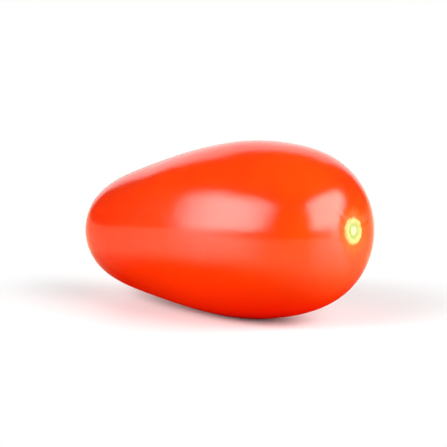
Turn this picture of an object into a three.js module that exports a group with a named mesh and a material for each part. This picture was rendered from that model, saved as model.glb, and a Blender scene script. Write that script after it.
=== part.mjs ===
// Cherry tomato of the plum shape, lying on its side on a small flat spot.
// Millimetres, +Z up. +X runs along the fruit towards its stem end.
// The origin is the bottom centre of the fruit's bounding box, on the surface that it lies on.

import * as THREE from 'three';

// The whole fruit
const LENGTH = 44.6;            // blossom pole to stem pole
const GIRTH_DIAMETER = 24;      // at the widest place, nearer the stem end
const TAPER = 0.27;             // how much fuller the stem half is than the blossom half
const TAPER_EASE = 0.1;         // how much of that is lost again towards the poles
const FLANK_FULLNESS = 0.05;    // how full the flanks are between the middle and the ends
const END_FULLNESS = 0.3;       // how blunt both ends are
const BEND = 0.15;              // how far both poles droop below the middle of the fruit
const LOBE_COUNT = 3;           // seed chambers, which show as faint lobes on the shoulder
const LOBE_HEIGHT = 0.09;
const LOBE_TURN = 0.6;          // radians round the fruit from its top to the first lobe
const LOBE_PLACE = 0.62;        // where they are strongest, as a share of the half length
const LOBE_REACH = 0.32;        // how far along the fruit they fade out, as a share of the half length

// How it lies
const REST_TILT = 7.3;          // degrees: the full stem end lifts the fruit's axis by this much
const REST_SPOT_DEPTH = 0.25;   // how far the flat spot is pressed into the round of the fruit

// The stem scar, where the fruit came off its stalk
const HOLLOW_DEPTH = 0.5;       // shallow hollow in the shoulder round the scar
const HOLLOW_RADIUS = 2.7;
const RING_HEIGHT = 0.17;       // raised corky ring
const RING_RADIUS = 1.42;
const RING_WIDTH = 0.3;
const CORE_HEIGHT = 0.2;        // end of the stalk's core, inside the ring
const CORE_RADIUS = 0.6;

// The blossom scar, a small point at the other pole
const POINT_HEIGHT = 0.22;
const POINT_RADIUS = 0.75;

// Fineness of the surface
const PROFILE_STEPS = 46;
const ROUND_STEPS = 56;
const POLE_CROWDING = 0.84;     // 0 spaces the profile's points evenly, near 1 crowds them at the poles

const HALF_LENGTH = LENGTH / 2;
const GIRTH_RADIUS = GIRTH_DIAMETER / 2;

// The body's radius before it is brought to the real girth. The place along the fruit runs from -1 at
// the blossom pole to 1 at the stem pole.
function fullness(place) {
  const uneven = TAPER * place - TAPER_EASE * place ** 3;
  const even = FLANK_FULLNESS * place ** 2 + END_FULLNESS * place ** 4;
  return Math.sqrt(Math.max(1 - place ** 2, 0)) * (1 + uneven + even);
}

// The widest place is looked for in small steps.
function widest() {
  const steps = 2000;
  let most = 0;
  for (let i = 0; i <= steps; i += 1) {
    most = Math.max(most, fullness((2 * i) / steps - 1));
  }
  return most;
}

const WIDEST = widest();

function bodyRadius(place) {
  return (GIRTH_RADIUS * fullness(place)) / WIDEST;
}

// A round swelling of a given width, centred at a distance from the axis.
function swelling(distance, centre, width) {
  return Math.exp(-(((distance - centre) / width) ** 2));
}

// How far the stem end's relief stands out of the smooth body, at a distance from the axis.
function stemRelief(distance) {
  return (
    RING_HEIGHT * swelling(distance, RING_RADIUS, RING_WIDTH)
    + CORE_HEIGHT * swelling(distance, 0, CORE_RADIUS)
    - HOLLOW_DEPTH * swelling(distance, 0, HOLLOW_RADIUS)
  );
}

function blossomRelief(distance) {
  return POINT_HEIGHT * swelling(distance, 0, POINT_RADIUS);
}

// The profile from the blossom pole to the stem pole: radius, then height along the turning axis.
function profile() {
  const points = [];
  for (let i = 0; i <= PROFILE_STEPS; i += 1) {
    const share = i / PROFILE_STEPS;
    const crowded = share - (POLE_CROWDING * Math.sin(2 * Math.PI * share)) / (2 * Math.PI);
    const place = -Math.cos(Math.PI * crowded);
    const atPole = i === 0 || i === PROFILE_STEPS;
    const radius = atPole ? 0 : bodyRadius(place);
    const relief = place > 0 ? stemRelief(radius) : -blossomRelief(radius);
    points.push(new THREE.Vector2(radius, HALF_LENGTH * place + relief));
  }
  return points;
}

// Faint lobes, strongest on the shoulder and gone at the poles and along the tapered half.
function addLobes(point) {
  const place = THREE.MathUtils.clamp(point.x / HALF_LENGTH, -1, 1);
  const strength = swelling(place, LOBE_PLACE, LOBE_REACH);
  const turn = Math.atan2(point.y, point.z);
  const distance = Math.hypot(point.y, point.z);
  if (distance === 0) {
    return;
  }
  const away = 1 + (LOBE_HEIGHT * strength * Math.cos(LOBE_COUNT * (turn - LOBE_TURN))) / GIRTH_RADIUS;
  point.y *= away;
  point.z *= away;
}

function bend(point) {
  point.z -= BEND * (point.x / HALF_LENGTH) ** 2;
}

// Turns the profile, lays the fruit down with its stem end lifted, shapes it point by point, presses
// the rest spot flat and brings the origin to the bottom centre of its box.
function tomatoGeometry() {
  const geometry = new THREE.LatheGeometry(profile(), ROUND_STEPS);
  geometry.rotateZ(-Math.PI / 2);
  const position = geometry.getAttribute('position');
  const tilt = new THREE.Matrix4().makeRotationY(-THREE.MathUtils.degToRad(REST_TILT));
  const point = new THREE.Vector3();
  for (let i = 0; i < position.count; i += 1) {
    point.fromBufferAttribute(position, i);
    addLobes(point);
    bend(point);
    point.applyMatrix4(tilt);
    position.setXYZ(i, point.x, point.y, point.z);
  }
  geometry.computeBoundingBox();
  const ground = geometry.boundingBox.min.z + REST_SPOT_DEPTH;
  for (let i = 0; i < position.count; i += 1) {
    position.setZ(i, Math.max(position.getZ(i), ground));
  }
  geometry.computeBoundingBox();
  const middle = geometry.boundingBox.getCenter(new THREE.Vector3());
  geometry.translate(-middle.x, -middle.y, -ground);
  geometry.computeVertexNormals();
  return geometry;
}

const skin = new THREE.MeshStandardMaterial({
  name: 'skin',
  color: 0xf0340a,
  roughness: 0.22,
  metalness: 0,
});

const tomato = new THREE.Mesh(tomatoGeometry(), skin);
tomato.name = 'tomato';

const part = new THREE.Group();
part.add(tomato);

export default part;
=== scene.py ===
import math
import random

import bpy
from bpy.props import FloatProperty, FloatVectorProperty, IntProperty, PointerProperty
from mathutils import Matrix, Vector


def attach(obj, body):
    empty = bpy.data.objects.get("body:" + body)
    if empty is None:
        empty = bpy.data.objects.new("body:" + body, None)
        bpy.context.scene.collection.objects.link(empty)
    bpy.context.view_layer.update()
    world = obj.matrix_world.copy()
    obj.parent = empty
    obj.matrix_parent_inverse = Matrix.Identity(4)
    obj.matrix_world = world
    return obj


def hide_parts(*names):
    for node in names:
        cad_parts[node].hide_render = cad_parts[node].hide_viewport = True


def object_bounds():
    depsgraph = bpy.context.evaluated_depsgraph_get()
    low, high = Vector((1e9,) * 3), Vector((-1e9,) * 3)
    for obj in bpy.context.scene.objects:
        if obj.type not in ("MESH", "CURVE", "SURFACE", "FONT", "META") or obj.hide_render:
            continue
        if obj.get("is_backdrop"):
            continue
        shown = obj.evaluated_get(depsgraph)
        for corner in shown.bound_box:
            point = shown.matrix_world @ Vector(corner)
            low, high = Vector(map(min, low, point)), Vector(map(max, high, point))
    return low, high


bl_info = {
    "name": "Cherry tomato",
    "version": (1, 0, 0),
    "blender": (4, 5, 0),
    "location": "3D View > Sidebar > Tomato",
    "description": "A plum-shaped cherry tomato with its stem and blossom scars",
    "category": "Object",
}

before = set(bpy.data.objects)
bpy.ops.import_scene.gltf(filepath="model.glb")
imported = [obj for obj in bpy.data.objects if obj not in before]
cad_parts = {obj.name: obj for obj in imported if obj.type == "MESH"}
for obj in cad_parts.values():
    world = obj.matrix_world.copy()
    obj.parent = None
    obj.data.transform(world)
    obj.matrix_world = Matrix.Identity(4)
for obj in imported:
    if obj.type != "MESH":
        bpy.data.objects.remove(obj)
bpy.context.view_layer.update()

MM = 0.001
NODE = "tomato"
PIECE = "tomato_fruit"
ALONG = Vector((1, 0, 0))
STEM_END = 0.8  # the stem end's skin lies past this share of the half length


# Settings


def length_property(name, description, millimetres):
    return FloatProperty(name=name, description=description, default=millimetres * MM, unit="LENGTH")


def distance_property(name, description, metres):
    return FloatProperty(name=name, description=description, default=metres, unit="LENGTH")


def angle_property(name, description, radians):
    return FloatProperty(name=name, description=description, default=radians, subtype="ANGLE")


def number_property(name, description, value):
    return FloatProperty(name=name, description=description, default=value)


def count_property(name, description, value):
    return IntProperty(name=name, description=description, default=value)


def colour_property(name, description, value):
    return FloatVectorProperty(
        name=name, description=description, subtype="COLOR", size=3, min=0, max=1, default=value
    )


class FruitShape(bpy.types.PropertyGroup):
    """The size and form of the fruit"""

    length: length_property("Length", "From the blossom pole to the stem pole", 44.6)
    girth: length_property("Girth", "Diameter at the widest place", 24)
    taper: number_property("Taper", "How much fuller the stem half is than the blossom half", 0.27)
    taper_ease: number_property("Taper ease", "How much of the taper is lost again towards the poles", 0.1)
    flank_fullness: number_property("Flank fullness", "How full the flanks are before the ends", 0.05)
    end_fullness: number_property("End fullness", "How blunt both ends are", 0.3)
    bend: length_property("Bend", "How far both poles droop below the middle", 0.15)
    lobe_height: length_property("Lobe height", "Height of the faint lobes on the shoulder", 0.09)
    lobe_count: count_property("Lobes", "Seed chambers that show as faint lobes", 3)
    lobe_turn: angle_property("Lobe turn", "Turn from the top of the fruit to the first lobe", 0.6)
    lobe_place: number_property("Lobe place", "Where the lobes are, as a share of the half length", 0.62)
    lobe_reach: length_property("Lobe reach", "How far from its middle a lobe fades out", 9)
    unevenness: length_property("Unevenness", "How far the skin strays from a turned form", 0.10)
    uneven_spots: count_property("Uneven spots", "Soft swellings and dents all over the fruit", 26)
    rest_tilt: angle_property(
        "Rest tilt", "How far the full stem end lifts the fruit's axis", math.radians(7.3)
    )
    rest_depth: length_property("Rest spot depth", "How deep the flat spot is pressed in", 0.25)
    profile_steps: count_property("Profile steps", "Faces from pole to pole", 200)
    round_steps: count_property("Round steps", "Faces round the fruit", 144)


class ScarShape(bpy.types.PropertyGroup):
    """The stem scar and the blossom scar"""

    hollow_depth: length_property("Hollow depth", "Depth of the shallow hollow round the stem scar", 0.5)
    hollow_radius: length_property("Hollow radius", "Reach of the hollow", 2.7)
    ring_height: length_property("Ring height", "Height of the corky ring", 0.17)
    ring_radius: length_property("Ring radius", "Radius of the ring's crest", 1.42)
    ring_width: length_property("Ring width", "Half width of the corky ring", 0.3)
    core_height: length_property("Core height", "Height of the stalk's core inside the ring", 0.2)
    core_radius: length_property("Core radius", "Radius of the stalk's core", 0.6)
    roughness: length_property("Cork relief", "Height of the small lumps on the ring and core", 0.12)
    pucker_count: count_property("Puckers", "Fine folds that run out from the stem scar", 11)
    pucker_depth: length_property("Pucker depth", "Depth of the fine folds", 0.03)
    point_height: length_property("Point height", "Height of the blossom scar's point", 0.22)
    point_radius: length_property("Point radius", "Radius of the blossom scar's point", 0.75)


class FruitColours(bpy.types.PropertyGroup):
    """The colours of the skin and of its scars"""

    skin: colour_property("Skin", "Ripe skin along the body", (0.64, 0.034, 0.001))
    deep: colour_property("Deep skin", "Redder skin at the blossom end and in patches", (0.54, 0.018, 0.0008))
    shoulder: colour_property("Shoulder", "More orange skin at the stem end", (0.66, 0.046, 0.0014))
    # Halo: the skin's own orange round the stem scar, with a painted glow of the softbox highlight beside it
    halo_and_painted_glow: colour_property("Halo", "Orange skin close round the stem scar", (0.74, 0.085, 0.004))
    fringe: colour_property("Fringe", "Thin edge of the ring, where it meets the skin", (0.72, 0.27, 0.05))
    ring: colour_property("Ring", "Corky ring of the stem scar", (0.53, 0.49, 0.18))
    groove: colour_property("Groove", "Greener groove inside the ring", (0.34, 0.40, 0.10))
    core: colour_property("Core", "End of the stalk's core", (0.58, 0.60, 0.38))
    blossom: colour_property("Blossom scar", "Dry point at the blossom end", (0.20, 0.07, 0.02))
    fleck: colour_property("Flecks", "Fine pale flecks in the skin", (0.80, 0.10, 0.012))


class StudioSettings(bpy.types.PropertyGroup):
    """The camera, floor and lights. The lights' turns are counted from the camera."""

    azimuth: angle_property("Azimuth", "Camera's turn round the fruit", math.radians(38))
    elevation: angle_property("Elevation", "Camera's height above the horizon", math.radians(12))
    distance: distance_property("Distance", "From the camera to the fruit's middle", 0.6)
    view_width: length_property("View width", "Width that the camera sees at the fruit", 60.6)
    left_turn: angle_property("Left softbox", "Turn of the left softbox", math.radians(-65.5))
    right_turn: angle_property("Right softbox", "Turn of the right softbox", math.radians(65))
    left_width: distance_property("Left width", "Width of the left softbox", 1.74)
    right_width: distance_property("Right width", "Width of the right softbox", 1.62)
    box_height: distance_property("Softbox height", "Height of both softboxes", 1.06)
    box_elevation: angle_property("Softbox elevation", "Elevation of both", math.radians(25))
    box_distance: distance_property("Softbox distance", "From the fruit to both softboxes", 1.0)
    lean: angle_property("Softbox lean", "How far each softbox leans to its side", math.radians(14))
    softbox: number_property("Softbox brightness", "Radiance of each softbox", 8.9)
    soft_edge: number_property("Soft edge", "Share of a softbox that fades out at an edge", 0.3)
    left_edge: number_property("Left edge", "The same for the left softbox's two sides", 0.45)
    backdrop: number_property("Backdrop brightness", "Radiance of the backdrop behind the fruit", 1.5)
    room: number_property("Room brightness", "Radiance of the dim room", 0.04)
    floor: colour_property("Floor", "Plain pale floor", (0.86, 0.86, 0.86))
    # Floor colours that only the fruit sees: painted shade with painted red bounce near it, painted warm
    # bounce further out
    floor_near_painted_shade_and_bounce: colour_property("Floor near", "Light thrown back close to the fruit", (0.72, 0.014, 0.003))
    floor_far_painted_warm_bounce: colour_property("Floor far", "Light thrown back away from the fruit", (0.78, 0.74, 0.46))


def shape():
    return bpy.context.scene.fruit_shape


def scar():
    return bpy.context.scene.scar_shape


def colours():
    return bpy.context.scene.fruit_colours


def studio():
    return bpy.context.scene.studio_settings


def half_length():
    return shape().length / 2


# The turned form


def fullness(place):
    """The body's radius before it is brought to the real girth. The place along the fruit runs from
    -1 at the blossom pole to 1 at the stem pole."""
    s = shape()
    uneven = s.taper * place - s.taper_ease * place**3
    even = s.flank_fullness * place**2 + s.end_fullness * place**4
    return math.sqrt(max(1 - place**2, 0)) * (1 + uneven + even)


def swelling(distance, centre, width):
    return math.exp(-(((distance - centre) / width) ** 2))


def stem_relief(distance):
    """How far the stem end stands out of the smooth body, at a distance from the axis"""
    s = scar()
    return (
        s.ring_height * swelling(distance, s.ring_radius, s.ring_width)
        + s.core_height * swelling(distance, 0, s.core_radius)
        - s.hollow_depth * swelling(distance, 0, s.hollow_radius)
    )


def blossom_relief(distance):
    return scar().point_height * swelling(distance, 0, scar().point_radius)


def fruit_profile():
    """Points along the fruit and out from its axis, crowded towards the poles"""
    crowding = 0.84
    steps = shape().profile_steps
    search = 2000
    widest = max(fullness(2 * i / search - 1) for i in range(search + 1))
    points = []
    for i in range(steps + 1):
        share = i / steps
        crowded = share - crowding * math.sin(2 * math.pi * share) / (2 * math.pi)
        place = -math.cos(math.pi * crowded)
        radius = shape().girth / 2 * fullness(place) / widest
        if i in (0, steps):
            radius = 0
        relief = stem_relief(radius) if place > 0 else -blossom_relief(radius)
        points.append(Vector((place * shape().length / 2 + relief, 0, radius)))
    return points


# Work on the mesh


def deselect_objects():
    if bpy.context.object and bpy.context.object.mode != "OBJECT":
        bpy.ops.object.mode_set(mode="OBJECT")
    bpy.ops.object.select_all(action="DESELECT")


def select_vertices(piece, chosen):
    """Selects the vertices whose place passes the test, and leaves the piece in edit mode"""
    mesh = piece.data
    for part in (mesh.vertices, mesh.edges, mesh.polygons):
        part.foreach_set("select", [False] * len(part))
    for vertex in mesh.vertices:
        vertex.select = chosen(vertex.co)
    bpy.ops.object.mode_set(mode="EDIT")
    bpy.context.tool_settings.mesh_select_mode = (True, False, False)


def move_selected(move, reach):
    """Moves the selected skin, and the skin within reach of it less and less"""
    bpy.ops.transform.translate(
        value=move, use_proportional_edit=True, proportional_edit_falloff="SMOOTH", proportional_size=reach
    )
    bpy.ops.object.mode_set(mode="OBJECT")


def pull_skin(piece, place, move, reach):
    """Pulls on the skin nearest a place"""
    nearest = min(piece.data.vertices, key=lambda vertex: (vertex.co - place).length_squared).index
    spot = piece.data.vertices[nearest].co.copy()
    select_vertices(piece, lambda co: (co - spot).length_squared < 1e-14)
    move_selected(move, reach)


def turn_piece(piece, angle, axis):
    piece.matrix_world = Matrix.Rotation(angle, 4, axis)
    bpy.ops.object.transform_apply(location=True, rotation=True, scale=True)


def outward_from_axis(turn):
    """Square to the fruit's axis, turned from the top of the fruit"""
    return Vector((0, math.sin(turn), math.cos(turn)))


def spin_fruit():
    """Draws the profile point by point by extruding it, and spins it round the fruit's axis"""
    deselect_objects()
    points = fruit_profile()
    bpy.ops.mesh.primitive_plane_add(size=MM)
    piece = bpy.context.object
    piece.name = PIECE
    piece.data.name = PIECE
    bpy.ops.object.mode_set(mode="EDIT")
    bpy.ops.mesh.select_all(action="SELECT")
    bpy.ops.mesh.merge(type="CENTER")
    bpy.ops.transform.translate(value=points[0])
    for here, there in zip(points, points[1:]):
        bpy.ops.mesh.extrude_region_move(TRANSFORM_OT_translate={"value": there - here})
    bpy.ops.mesh.select_all(action="SELECT")
    bpy.ops.mesh.spin(steps=shape().round_steps, angle=2 * math.pi, center=(0, 0, 0), axis=ALONG)
    bpy.ops.mesh.select_all(action="SELECT")
    bpy.ops.mesh.remove_doubles(threshold=1e-6)
    bpy.ops.mesh.normals_make_consistent(inside=False)
    bpy.ops.object.mode_set(mode="OBJECT")
    return piece


def raise_lobes(piece):
    """Pulls out a faint lobe over each seed chamber, and the furrows between them in"""
    s = shape()
    for i in range(2 * s.lobe_count):
        outward = outward_from_axis(s.lobe_turn + math.pi * i / s.lobe_count)
        side = 1 if i % 2 == 0 else -1
        place = ALONG * (s.lobe_place * half_length()) + outward * s.girth / 2
        pull_skin(piece, place, outward * side * s.lobe_height, s.lobe_reach)


def roughen_skin(piece, draw):
    """Soft, shallow swellings and dents all over, as no fruit is quite round"""
    s = shape()
    for _ in range(s.uneven_spots):
        along = draw.uniform(-0.9, 0.85) * half_length()
        outward = outward_from_axis(draw.uniform(0, 2 * math.pi))
        depth = draw.uniform(-1, 1) * s.unevenness
        place = ALONG * along + outward * s.girth / 2
        pull_skin(piece, place, outward * depth, draw.uniform(5, 10) * MM)


def fold_puckers(piece, draw):
    """Fine folds that run out from the stem scar into the hollow"""
    count = scar().pucker_count
    for i in range(count):
        outward = outward_from_axis(2 * math.pi * (i + draw.uniform(-0.3, 0.3)) / count)
        aside = ALONG.cross(outward)
        start = 1.75 * MM
        end = draw.uniform(2.6, 4.4) * MM
        width = draw.uniform(0.10, 0.16) * MM

        def in_fold(co):
            on_stem_end = co.x > STEM_END * half_length()
            return on_stem_end and start < co.dot(outward) < end and abs(co.dot(aside)) < width

        select_vertices(piece, in_fold)
        move_selected(-ALONG * scar().pucker_depth, 0.45 * MM)


def weigh_cork(piece):
    """A vertex group that is full on the corky ring and core and fades just outside them"""
    group = piece.vertex_groups.new(name="cork")
    rim = scar().ring_radius + scar().ring_width
    fade = 0.5 * MM
    for vertex in piece.data.vertices:
        if vertex.co.x > STEM_END * half_length():
            distance = math.hypot(vertex.co.y, vertex.co.z)
            weight = min(max((rim + fade - distance) / fade, 0), 1)
            if weight > 0:
                group.add([vertex.index], weight, "REPLACE")
    return group


def crumble_cork(piece):
    """Small lumps on the scar, from a cloud texture, with a modifier that is applied"""
    group = weigh_cork(piece)
    clouds = bpy.data.textures.new("cork lumps", "CLOUDS")
    clouds.noise_scale = 0.45 * MM
    clouds.noise_depth = 2
    modifier = piece.modifiers.new("Cork", "DISPLACE")
    modifier.texture = clouds
    modifier.texture_coords = "LOCAL"
    modifier.direction = "X"
    modifier.vertex_group = group.name
    modifier.mid_level = 0.5
    modifier.strength = 2 * scar().roughness
    bpy.ops.object.modifier_apply(modifier=modifier.name)
    piece.vertex_groups.clear()


def bend_fruit(piece):
    """Bends the fruit so that its poles droop, with a modifier that is applied. The modifier bends what
    lies along X towards Y, so the fruit is rolled onto its side for it and back again."""
    quarter = math.pi / 2
    turn_piece(piece, quarter, "X")
    modifier = piece.modifiers.new("Bend", "SIMPLE_DEFORM")
    modifier.deform_method = "BEND"
    modifier.deform_axis = "Z"
    modifier.angle = 4 * shape().bend / half_length()
    bpy.ops.object.modifier_apply(modifier=modifier.name)
    turn_piece(piece, -quarter, "X")


def lay_down(piece):
    """Lifts the stem end, presses the rest spot flat and puts the fruit where its solid lies. Gives
    the move from the fruit's own middle to its place."""
    turn_piece(piece, -shape().rest_tilt, "Y")
    ground = min(vertex.co.z for vertex in piece.data.vertices) + shape().rest_depth
    select_vertices(piece, lambda co: co.z < ground)
    bpy.ops.transform.resize(value=(1, 1, 0), center_override=(0, 0, ground))
    bpy.ops.object.mode_set(mode="OBJECT")
    xs = [vertex.co.x for vertex in piece.data.vertices]
    ys = [vertex.co.y for vertex in piece.data.vertices]
    move = Vector((-(min(xs) + max(xs)) / 2, -(min(ys) + max(ys)) / 2, -ground))
    piece.location = move
    bpy.ops.object.transform_apply(location=True, rotation=True, scale=True)
    return move


# Materials


class Tree:
    """Adds nodes to a node tree and joins them up. Values and colours can stand in for sockets."""

    def __init__(self, owner):
        owner.use_nodes = True
        self.tree = owner.node_tree
        self.tree.nodes.clear()
        self.column = 0

    def node(self, kind, **settings):
        made = self.tree.nodes.new(kind)
        made.location = (200 * self.column, 0)
        self.column += 1
        for name, value in settings.items():
            setattr(made, name, value)
        return made

    def link(self, source, target):
        if isinstance(source, bpy.types.NodeSocket):
            self.tree.links.new(source, target)
        elif target.type == "RGBA":
            target.default_value = (*source, 1.0)
        else:
            target.default_value = source

    def math(self, operation, *values):
        made = self.node("ShaderNodeMath", operation=operation)
        for value, target in zip(values, made.inputs):
            self.link(value, target)
        return made.outputs[0]

    def vector_math(self, operation, *values):
        made = self.node("ShaderNodeVectorMath", operation=operation)
        for value, target in zip(values, made.inputs):
            self.link(value, target)
        single = operation in ("LENGTH", "DISTANCE", "DOT_PRODUCT")
        return made.outputs["Value" if single else "Vector"]

    def split(self, vector):
        made = self.node("ShaderNodeSeparateXYZ")
        self.link(vector, made.inputs[0])
        return made.outputs

    def fade(self, value, start, end, low=0.0, high=1.0):
        made = self.node("ShaderNodeMapRange", interpolation_type="SMOOTHSTEP")
        for source, name in (
            (value, "Value"), (start, "From Min"), (end, "From Max"), (low, "To Min"), (high, "To Max")
        ):
            self.link(source, made.inputs[name])
        return made.outputs["Result"]

    def noise(self, vector, scale, detail=2.0, roughness=0.5):
        made = self.node("ShaderNodeTexNoise")
        for source, name in (
            (vector, "Vector"), (scale, "Scale"), (detail, "Detail"), (roughness, "Roughness")
        ):
            self.link(source, made.inputs[name])
        return made.outputs["Fac"]

    def mix(self, amount, first, second):
        made = self.node("ShaderNodeMix", data_type="RGBA")
        self.link(amount, made.inputs["Factor"])
        ends = [socket for socket in made.inputs if socket.type == "RGBA"]
        self.link(first, ends[0])
        self.link(second, ends[1])
        return next(socket for socket in made.outputs if socket.type == "RGBA")

    def mix_shaders(self, amount, first, second):
        made = self.node("ShaderNodeMixShader")
        for source, target in zip((amount, first, second), made.inputs):
            self.link(source, target)
        return made.outputs[0]

    def finish(self, kind, surface):
        self.link(surface, self.node(kind).inputs["Surface"])


def in_own_frame(t, move):
    """The fruit's own frame: X along it, its middle at zero, in millimetres"""
    own = t.node("ShaderNodeMapping", vector_type="TEXTURE")
    t.link(t.node("ShaderNodeTexCoord").outputs["Object"], own.inputs["Vector"])
    own.inputs["Location"].default_value = move
    own.inputs["Rotation"].default_value = (0, -shape().rest_tilt, 0)
    own.inputs["Scale"].default_value = (MM, MM, MM)
    return own.outputs["Vector"]


def ripe_colour(t, fruit):
    """Redder at the blossom end and more orange at the stem end, with soft patches and streaks"""
    c = colours()
    half = half_length() / MM
    x = t.split(fruit)["X"]
    patches = t.noise(fruit, 0.09)
    streaks = t.noise(t.vector_math("MULTIPLY", fruit, (0.10, 1.0, 1.0)), 0.75, 3.0, 0.6)
    colour = t.mix(t.fade(x, -half, 0.1 * half), c.deep, c.skin)
    colour = t.mix(t.fade(x, 0.15 * half, 0.95 * half), colour, c.shoulder)
    colour = t.mix(t.fade(patches, 0.45, 0.8, 0, 0.55), colour, c.deep)
    return t.mix(t.fade(streaks, 0.52, 0.82, 0, 0.30), colour, c.shoulder)


def fleck(t, fruit, colour):
    """Fine pale flecks, one to a cell, that come and go along the skin"""
    cells = t.node("ShaderNodeTexVoronoi", feature="F1", distance="EUCLIDEAN")
    t.link(fruit, cells.inputs["Vector"])
    cells.inputs["Scale"].default_value = 1.15
    size = t.fade(t.noise(fruit, 0.6), 0.4, 0.7, 0.04, 0.13)
    inside = t.math("SUBTRACT", size, cells.outputs["Distance"])
    return t.mix(t.math("MULTIPLY", t.fade(inside, 0.0, 0.05), 0.45), colour, colours().fleck)


def ragged_distance(t, fruit, pole, raggedness):
    """From a pole, with a wobble in millimetres so that round edges come out uneven"""
    wobble = t.math("SUBTRACT", t.noise(fruit, 1.1, 3.0), 0.5)
    return t.math("MULTIPLY_ADD", wobble, raggedness, t.vector_math("DISTANCE", fruit, pole))


def stem_scar(t, fruit, colour):
    """The corky ring round the greener groove and the stalk's core, and orange skin round the ring, partly
    its own colour and partly a painted glow of a softbox highlight.
    Gives the colour and how far a place belongs to the scar."""
    c = colours()
    pole = ((half_length() - scar().hollow_depth) / MM, 0, -shape().bend / MM)
    away = ragged_distance(t, fruit, pole, 0.55)
    edge = (scar().ring_radius + scar().ring_width) / MM
    # Orange round the scar: partly the skin's own colour, partly a painted glow of a softbox highlight
    colour = t.mix(t.fade(away, edge + 2.0, edge + 0.1), colour, c.halo_and_painted_glow)
    colour = t.mix(t.fade(away, edge + 0.30, edge), colour, c.fringe)
    on_ring = t.fade(away, edge + 0.12, edge - 0.25)
    colour = t.mix(on_ring, colour, c.ring)
    colour = t.mix(t.fade(away, 1.18, 0.9), colour, c.groove)
    colour = t.mix(t.fade(away, 0.68, 0.5), colour, c.core)
    grain = t.fade(t.noise(fruit, 4.0, 4.0, 0.7), 0.3, 0.75, 0.0, 0.35)
    return t.mix(t.math("MULTIPLY", on_ring, grain), colour, c.groove), on_ring


def blossom_scar(t, fruit, colour):
    """The dry point at the other pole. Gives the colour and how far a place belongs to the point."""
    pole = (-half_length() / MM, 0, -shape().bend / MM)
    away = ragged_distance(t, fruit, pole, 0.4)
    colour = t.mix(t.fade(away, 1.7, 0.6, 0, 0.55), colour, colours().shoulder)
    on_point = t.fade(away, 0.68, 0.24)
    grain = t.fade(t.noise(fruit, 3.2, 4.0, 0.7), 0.3, 0.7, 0.55, 1.0)
    return t.mix(t.math("MULTIPLY", on_point, grain), colour, colours().blossom), on_point


def skin_relief(t, fruit, dry):
    """Fine pores and soft swells in the skin, and coarse grain on the dry scars, in millimetres"""
    pores = t.noise(fruit, 2.6)
    swells = t.noise(fruit, 0.45, 1.0)
    grain = t.math("MULTIPLY", t.noise(fruit, 5.0, 4.0, 0.7), dry)
    height = t.math("MULTIPLY_ADD", pores, 0.006, t.math("MULTIPLY", swells, 0.03))
    height = t.math("MULTIPLY_ADD", grain, 0.12, height)
    bump = t.node("ShaderNodeBump")
    bump.inputs["Strength"].default_value = 1.0
    bump.inputs["Distance"].default_value = MM
    t.link(height, bump.inputs["Height"])
    return bump.outputs["Normal"]


def skin_material(move):
    """Waxy ripe skin, glossy but for its dry scars"""
    material = bpy.data.materials.new("ripe tomato skin")
    t = Tree(material)
    fruit = in_own_frame(t, move)
    colour = fleck(t, fruit, ripe_colour(t, fruit))
    colour, on_ring = stem_scar(t, fruit, colour)
    colour, on_point = blossom_scar(t, fruit, colour)
    dry = t.math("MAXIMUM", on_ring, on_point)
    gloss = t.fade(t.noise(fruit, 0.35, 3.0), 0.3, 0.75, 0.13, 0.18)

    shader = t.node("ShaderNodeBsdfPrincipled")
    t.link(colour, shader.inputs["Base Color"])
    t.link(t.math("MULTIPLY_ADD", dry, 0.45, gloss), shader.inputs["Roughness"])
    t.link(skin_relief(t, fruit, dry), shader.inputs["Normal"])
    shader.inputs["IOR"].default_value = 1.45
    shader.inputs["Subsurface Weight"].default_value = 0.35
    shader.inputs["Subsurface Radius"].default_value = (1.0, 0.22, 0.08)
    shader.inputs["Subsurface Scale"].default_value = 3.0 * MM
    t.finish("ShaderNodeOutputMaterial", shader.outputs["BSDF"])
    return material


def floor_material():
    """Near white to the camera, with the fruit's shadow on it, and plain white away from the fruit. To the
    fruit it shows other colours: close to it a painted shade with a painted red bounce, dark red, where the
    fruit's own shade and colour would lie, and further out a painted warm bounce, a warm yellowish floor that
    is slightly glossy."""
    material = bpy.data.materials.new("plain floor")
    t = Tree(material)
    away = t.vector_math("LENGTH", t.node("ShaderNodeTexCoord").outputs["Object"])

    pale = t.node("ShaderNodeBsdfPrincipled")
    t.link(studio().floor, pale.inputs["Base Color"])
    pale.inputs["Roughness"].default_value = 0.55
    white = t.node("ShaderNodeEmission")
    shown = t.mix_shaders(t.fade(away, 19 * MM, 46 * MM), pale.outputs[0], white.outputs[0])

    # Seen only by the fruit: painted shade and painted red bounce near it, fading to a glossy painted warm
    # bounce further out
    past_painted_shade = t.fade(away, 17 * MM, 36 * MM)
    thrown = t.node("ShaderNodeBsdfPrincipled")
    t.link(t.mix(past_painted_shade, studio().floor_near_painted_shade_and_bounce, studio().floor_far_painted_warm_bounce), thrown.inputs["Base Color"])
    t.link(t.math("MULTIPLY", past_painted_shade, 0.7), thrown.inputs["Specular IOR Level"])
    thrown.inputs["Roughness"].default_value = 0.3

    seen = t.node("ShaderNodeLightPath").outputs["Is Camera Ray"]
    t.finish("ShaderNodeOutputMaterial", t.mix_shaders(seen, thrown.outputs[0], shown))
    return material


# The studio


def direction(azimuth, elevation):
    """From the fruit towards a place round it. Azimuth 0 is in front and 90 degrees is at +X."""
    flat = math.cos(elevation)
    return Vector((math.sin(azimuth) * flat, -math.cos(azimuth) * flat, math.sin(elevation)))


def face_fruit(thing, target):
    thing.rotation_euler = (target - thing.location).to_track_quat("-Z", "Y").to_euler()


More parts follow.
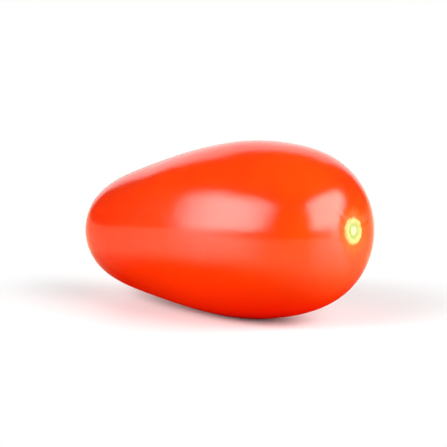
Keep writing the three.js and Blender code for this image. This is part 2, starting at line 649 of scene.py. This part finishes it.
def add_floor():
    deselect_objects()
    bpy.ops.mesh.primitive_plane_add(size=12)
    floor = bpy.context.object
    floor.name = "floor"
    floor.data.materials.append(floor_material())
    floor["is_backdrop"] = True


def soften_edges(light, side_edge):
    """Lets a softbox fade out towards its sides, and towards its top and bottom"""
    t = Tree(light)
    across = t.split(t.node("ShaderNodeNewGeometry").outputs["Parametric"])
    edges = []
    for axis, edge in (("X", side_edge), ("Y", studio().soft_edge)):
        from_middle = t.math("ABSOLUTE", t.math("SUBTRACT", across[axis], 0.5))
        edges.append(t.fade(from_middle, 0.5, 0.5 - edge))
    glow = t.node("ShaderNodeEmission")
    t.link(t.math("MULTIPLY", *edges), glow.inputs["Strength"])
    t.finish("ShaderNodeOutputLight", glow.outputs[0])


def add_softbox(name, turn, width, side_edge, lean, target):
    s = studio()
    towards = direction(s.azimuth + turn, s.box_elevation)
    bpy.ops.object.light_add(type="AREA", location=target + towards * s.box_distance)
    box = bpy.context.object
    box.name = name
    box.data.shape = "RECTANGLE"
    box.data.size = width
    box.data.size_y = s.box_height
    box.data.energy = math.pi * width * s.box_height * s.softbox
    box.visible_camera = False
    soften_edges(box.data, side_edge)
    face_fruit(box, target)
    box.rotation_euler.rotate_axis("Z", lean)


def light_world():
    """White where the camera sees past the floor; to the fruit, a bright backdrop behind it in a
    dim room"""
    world = bpy.data.worlds.new("studio")
    bpy.context.scene.world = world
    t = Tree(world)
    towards = t.node("ShaderNodeTexCoord").outputs["Generated"]
    facing = t.vector_math("DOT_PRODUCT", towards, -direction(studio().azimuth, 0))
    height = t.split(towards)["Z"]
    level = t.math("SQRT", t.math("SUBTRACT", 1.0, t.math("MULTIPLY", height, height)))
    across = t.fade(t.math("DIVIDE", facing, level), 0.85, 0.93)
    backdrop = t.math("MULTIPLY", across, t.fade(height, 0.68, 0.56))
    light = t.node("ShaderNodeBackground")
    t.link(t.math("MULTIPLY_ADD", backdrop, studio().backdrop, studio().room), light.inputs["Strength"])
    white = t.node("ShaderNodeBackground")
    white.inputs["Color"].default_value = (1, 1, 1, 1)
    seen = t.node("ShaderNodeLightPath").outputs["Is Camera Ray"]
    t.finish("ShaderNodeOutputWorld", t.mix_shaders(seen, light.outputs[0], white.outputs[0]))


def add_camera(target):
    s = studio()
    bpy.ops.object.camera_add(location=target + direction(s.azimuth, s.elevation) * s.distance)
    camera = bpy.context.object
    camera.name = "camera"
    camera.data.sensor_width = 36
    camera.data.lens = camera.data.sensor_width * s.distance / s.view_width
    camera.data.dof.use_dof = False
    camera.data.clip_start = 0.01
    face_fruit(camera, target)
    bpy.context.scene.camera = camera


# Operators and panel


class TOMATO_OT_fruit(bpy.types.Operator):
    """Model the fruit with its scars, in place of its solid"""

    bl_idname = "tomato.fruit"
    bl_label = "Model the fruit"

    def execute(self, context):
        draw = random.Random(7)
        piece = spin_fruit()
        raise_lobes(piece)
        roughen_skin(piece, draw)
        fold_puckers(piece, draw)
        crumble_cork(piece)
        bend_fruit(piece)
        move = lay_down(piece)
        bpy.ops.object.shade_smooth()
        piece.data.materials.append(skin_material(move))
        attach(piece, "root")
        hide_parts(NODE)
        return {"FINISHED"}


class TOMATO_OT_studio(bpy.types.Operator):
    """Set up the floor, the two softboxes, the surroundings and the camera"""

    bl_idname = "tomato.studio"
    bl_label = "Set up the studio"

    def execute(self, context):
        low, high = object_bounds()
        middle = (low + high) / 2
        s = studio()
        add_floor()
        add_softbox("softbox_left", s.left_turn, s.left_width, s.left_edge, s.lean, middle)
        add_softbox("softbox_right", s.right_turn, s.right_width, s.soft_edge, -s.lean, middle)
        light_world()
        add_camera(middle)
        context.scene.view_settings.view_transform = "Standard"
        return {"FINISHED"}


class TOMATO_PT_panel(bpy.types.Panel):
    """Sizes, colours and studio of the tomato"""

    bl_label = "Cherry tomato"
    bl_space_type = "VIEW_3D"
    bl_region_type = "UI"
    bl_category = "Tomato"

    def draw(self, context):
        layout = self.layout
        for group, name in GROUPS.items():
            settings = getattr(context.scene, name)
            box = layout.box()
            for setting in group.__annotations__:
                box.prop(settings, setting)
        layout.operator(TOMATO_OT_fruit.bl_idname)
        layout.operator(TOMATO_OT_studio.bl_idname)


GROUPS = {
    FruitShape: "fruit_shape",
    ScarShape: "scar_shape",
    FruitColours: "fruit_colours",
    StudioSettings: "studio_settings",
}
CLASSES = (*GROUPS, TOMATO_OT_fruit, TOMATO_OT_studio, TOMATO_PT_panel)


def register():
    for kind in CLASSES:
        bpy.utils.register_class(kind)
    for group, name in GROUPS.items():
        setattr(bpy.types.Scene, name, PointerProperty(type=group))


def unregister():
    for name in GROUPS.values():
        delattr(bpy.types.Scene, name)
    for kind in reversed(CLASSES):
        bpy.utils.unregister_class(kind)


def main():
    register()
    bpy.ops.tomato.fruit()
    bpy.ops.tomato.studio()


if __name__ == "__main__":
    main()
